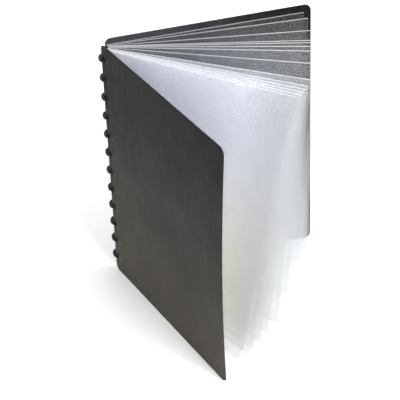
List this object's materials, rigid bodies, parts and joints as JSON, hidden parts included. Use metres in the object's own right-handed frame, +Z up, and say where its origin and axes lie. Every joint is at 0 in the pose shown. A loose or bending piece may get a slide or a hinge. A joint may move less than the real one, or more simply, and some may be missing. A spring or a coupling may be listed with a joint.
{
  "type": "disc-bound display album",
  "caption": "Stiff-covered album of clear film pocket sleeves on a spine of loose binding discs; opens like a fan and stands on its edges.",
  "frame": {"origin": "middle of the standing album's footprint, on the surface it stands on", "axes": "+Z up along the spine, +X from the spine to the open side, +Y towards the back cover; the covers open equally about the XZ plane"},
  "size_m": [0.2408, 0.2944, 0.32],
  "materials": {
    "front_cover": "fine-grained extruded polypropylene sheet, satin",
    "back_cover": "fine-grained extruded polypropylene sheet, satin black",
    "disc": "moulded, polished black",
    "sleeve_film": "clear cast polypropylene film, glossy with a faint haze"
  },
  "bodies": {
    "back_cover": {"back_cover": "back_cover"},
    "disc_01": {"disc_01": "disc"},
    "disc_02": {"disc_02": "disc"},
    "disc_03": {"disc_03": "disc"},
    "disc_04": {"disc_04": "disc"},
    "disc_05": {"disc_05": "disc"},
    "disc_06": {"disc_06": "disc"},
    "disc_07": {"disc_07": "disc"},
    "disc_08": {"disc_08": "disc"},
    "disc_09": {"disc_09": "disc"},
    "disc_10": {"disc_10": "disc"},
    "disc_11": {"disc_11": "disc"},
    "disc_12": {"disc_12": "disc"},
    "sleeve_01": {"sleeve_01": "sleeve_film"},
    "sleeve_02": {"sleeve_02": "sleeve_film"},
    "sleeve_03": {"sleeve_03": "sleeve_film"},
    "sleeve_04": {"sleeve_04": "sleeve_film"},
    "sleeve_05": {"sleeve_05": "sleeve_film"},
    "sleeve_06": {"sleeve_06": "sleeve_film"},
    "sleeve_07": {"sleeve_07": "sleeve_film"},
    "sleeve_08": {"sleeve_08": "sleeve_film"},
    "sleeve_09": {"sleeve_09": "sleeve_film"},
    "sleeve_10": {"sleeve_10": "sleeve_film"},
    "sleeve_11": {"sleeve_11": "sleeve_film"},
    "sleeve_12": {"sleeve_12": "sleeve_film"},
    "sleeve_13": {"sleeve_13": "sleeve_film"},
    "sleeve_14": {"sleeve_14": "sleeve_film"},
    "front_cover": {"front_cover": "front_cover"}
  },
  "joints": [
    {"name": "disc_01_spin", "type": "hinge", "parent": "back_cover", "child": "disc_01", "pos_m": [-0.11141, 0, 0.2997], "axis": [0, 0, 1], "continuous": true},
    {"name": "disc_02_spin", "type": "hinge", "parent": "back_cover", "child": "disc_02", "pos_m": [-0.11141, 0, 0.2743], "axis": [0, 0, 1], "continuous": true},
    {"name": "disc_03_spin", "type": "hinge", "parent": "back_cover", "child": "disc_03", "pos_m": [-0.11141, 0, 0.2489], "axis": [0, 0, 1], "continuous": true},
    {"name": "disc_04_spin", "type": "hinge", "parent": "back_cover", "child": "disc_04", "pos_m": [-0.11141, 0, 0.2235], "axis": [0, 0, 1], "continuous": true},
    {"name": "disc_05_spin", "type": "hinge", "parent": "back_cover", "child": "disc_05", "pos_m": [-0.11141, 0, 0.1981], "axis": [0, 0, 1], "continuous": true},
    {"name": "disc_06_spin", "type": "hinge", "parent": "back_cover", "child": "disc_06", "pos_m": [-0.11141, 0, 0.1727], "axis": [0, 0, 1], "continuous": true},
    {"name": "disc_07_spin", "type": "hinge", "parent": "back_cover", "child": "disc_07", "pos_m": [-0.11141, 0, 0.1473], "axis": [0, 0, 1], "continuous": true},
    {"name": "disc_08_spin", "type": "hinge", "parent": "back_cover", "child": "disc_08", "pos_m": [-0.11141, 0, 0.1219], "axis": [0, 0, 1], "continuous": true},
    {"name": "disc_09_spin", "type": "hinge", "parent": "back_cover", "child": "disc_09", "pos_m": [-0.11141, 0, 0.0965], "axis": [0, 0, 1], "continuous": true},
    {"name": "disc_10_spin", "type": "hinge", "parent": "back_cover", "child": "disc_10", "pos_m": [-0.11141, 0, 0.0711], "axis": [0, 0, 1], "continuous": true},
    {"name": "disc_11_spin", "type": "hinge", "parent": "back_cover", "child": "disc_11", "pos_m": [-0.11141, 0, 0.0457], "axis": [0, 0, 1], "continuous": true},
    {"name": "disc_12_spin", "type": "hinge", "parent": "back_cover", "child": "disc_12", "pos_m": [-0.11141, 0, 0.0203], "axis": [0, 0, 1], "continuous": true},
    {"name": "sleeve_01_turn", "type": "hinge", "parent": "back_cover", "child": "sleeve_01", "pos_m": [-0.11141, 0, 0.16], "axis": [0, 0, -1], "range_deg": [-2.51, 1.29]},
    {"name": "sleeve_02_turn", "type": "hinge", "parent": "back_cover", "child": "sleeve_02", "pos_m": [-0.11141, 0, 0.16], "axis": [0, 0, -1], "range_deg": [-6.51, 3.34]},
    {"name": "sleeve_03_turn", "type": "hinge", "parent": "back_cover", "child": "sleeve_03", "pos_m": [-0.11141, 0, 0.16], "axis": [0, 0, -1], "range_deg": [-12.51, 6.41]},
    {"name": "sleeve_04_turn", "type": "hinge", "parent": "back_cover", "child": "sleeve_04", "pos_m": [-0.11141, 0, 0.16], "axis": [0, 0, -1], "range_deg": [-18.01, 9.22]},
    {"name": "sleeve_05_turn", "type": "hinge", "parent": "back_cover", "child": "sleeve_05", "pos_m": [-0.11141, 0, 0.16], "axis": [0, 0, -1], "range_deg": [-21.76, 11.14]},
    {"name": "sleeve_06_turn", "type": "hinge", "parent": "back_cover", "child": "sleeve_06", "pos_m": [-0.11141, 0, 0.16], "axis": [0, 0, -1], "range_deg": [-26.01, 13.31]},
    {"name": "sleeve_07_turn", "type": "hinge", "parent": "back_cover", "child": "sleeve_07", "pos_m": [-0.11141, 0, 0.16], "axis": [0, 0, -1], "range_deg": [-29.26, 14.98]},
    {"name": "sleeve_08_turn", "type": "hinge", "parent": "back_cover", "child": "sleeve_08", "pos_m": [-0.11141, 0, 0.16], "axis": [0, 0, -1], "range_deg": [-34.01, 17.41]},
    {"name": "sleeve_09_turn", "type": "hinge", "parent": "back_cover", "child": "sleeve_09", "pos_m": [-0.11141, 0, 0.16], "axis": [0, 0, -1], "range_deg": [-40.51, 20.73]},
    {"name": "sleeve_10_turn", "type": "hinge", "parent": "back_cover", "child": "sleeve_10", "pos_m": [-0.11141, 0, 0.16], "axis": [0, 0, -1], "range_deg": [-44.01, 22.52]},
    {"name": "sleeve_11_turn", "type": "hinge", "parent": "back_cover", "child": "sleeve_11", "pos_m": [-0.11141, 0, 0.16], "axis": [0, 0, -1], "range_deg": [-46.51, 23.8]},
    {"name": "sleeve_12_turn", "type": "hinge", "parent": "back_cover", "child": "sleeve_12", "pos_m": [-0.11141, 0, 0.16], "axis": [0, 0, -1], "range_deg": [-49.01, 25.08]},
    {"name": "sleeve_13_turn", "type": "hinge", "parent": "back_cover", "child": "sleeve_13", "pos_m": [-0.11141, 0, 0.16], "axis": [0, 0, -1], "range_deg": [-51.51, 26.36]},
    {"name": "sleeve_fan", "type": "hinge", "parent": "back_cover", "child": "sleeve_14", "pos_m": [-0.11141, 0, 0.16], "axis": [0, 0, -1], "range_deg": [-53.75, 27.5]},
    {"name": "front_cover_hinge", "type": "hinge", "parent": "sleeve_14", "child": "front_cover", "pos_m": [-0.11141, 0, 0.16], "axis": [0, 0, -1], "range_deg": [-18.75, 80]}
  ],
  "couplings": [
    {"joint": "sleeve_01_turn", "follows": "sleeve_fan", "ratio": 0.046512},
    {"joint": "sleeve_02_turn", "follows": "sleeve_fan", "ratio": 0.12093},
    {"joint": "sleeve_03_turn", "follows": "sleeve_fan", "ratio": 0.23256},
    {"joint": "sleeve_04_turn", "follows": "sleeve_fan", "ratio": 0.33488},
    {"joint": "sleeve_05_turn", "follows": "sleeve_fan", "ratio": 0.40465},
    {"joint": "sleeve_06_turn", "follows": "sleeve_fan", "ratio": 0.48372},
    {"joint": "sleeve_07_turn", "follows": "sleeve_fan", "ratio": 0.54419},
    {"joint": "sleeve_08_turn", "follows": "sleeve_fan", "ratio": 0.63256},
    {"joint": "sleeve_09_turn", "follows": "sleeve_fan", "ratio": 0.75349},
    {"joint": "sleeve_10_turn", "follows": "sleeve_fan", "ratio": 0.8186},
    {"joint": "sleeve_11_turn", "follows": "sleeve_fan", "ratio": 0.86512},
    {"joint": "sleeve_12_turn", "follows": "sleeve_fan", "ratio": 0.91163},
    {"joint": "sleeve_13_turn", "follows": "sleeve_fan", "ratio": 0.95814}
  ]
}
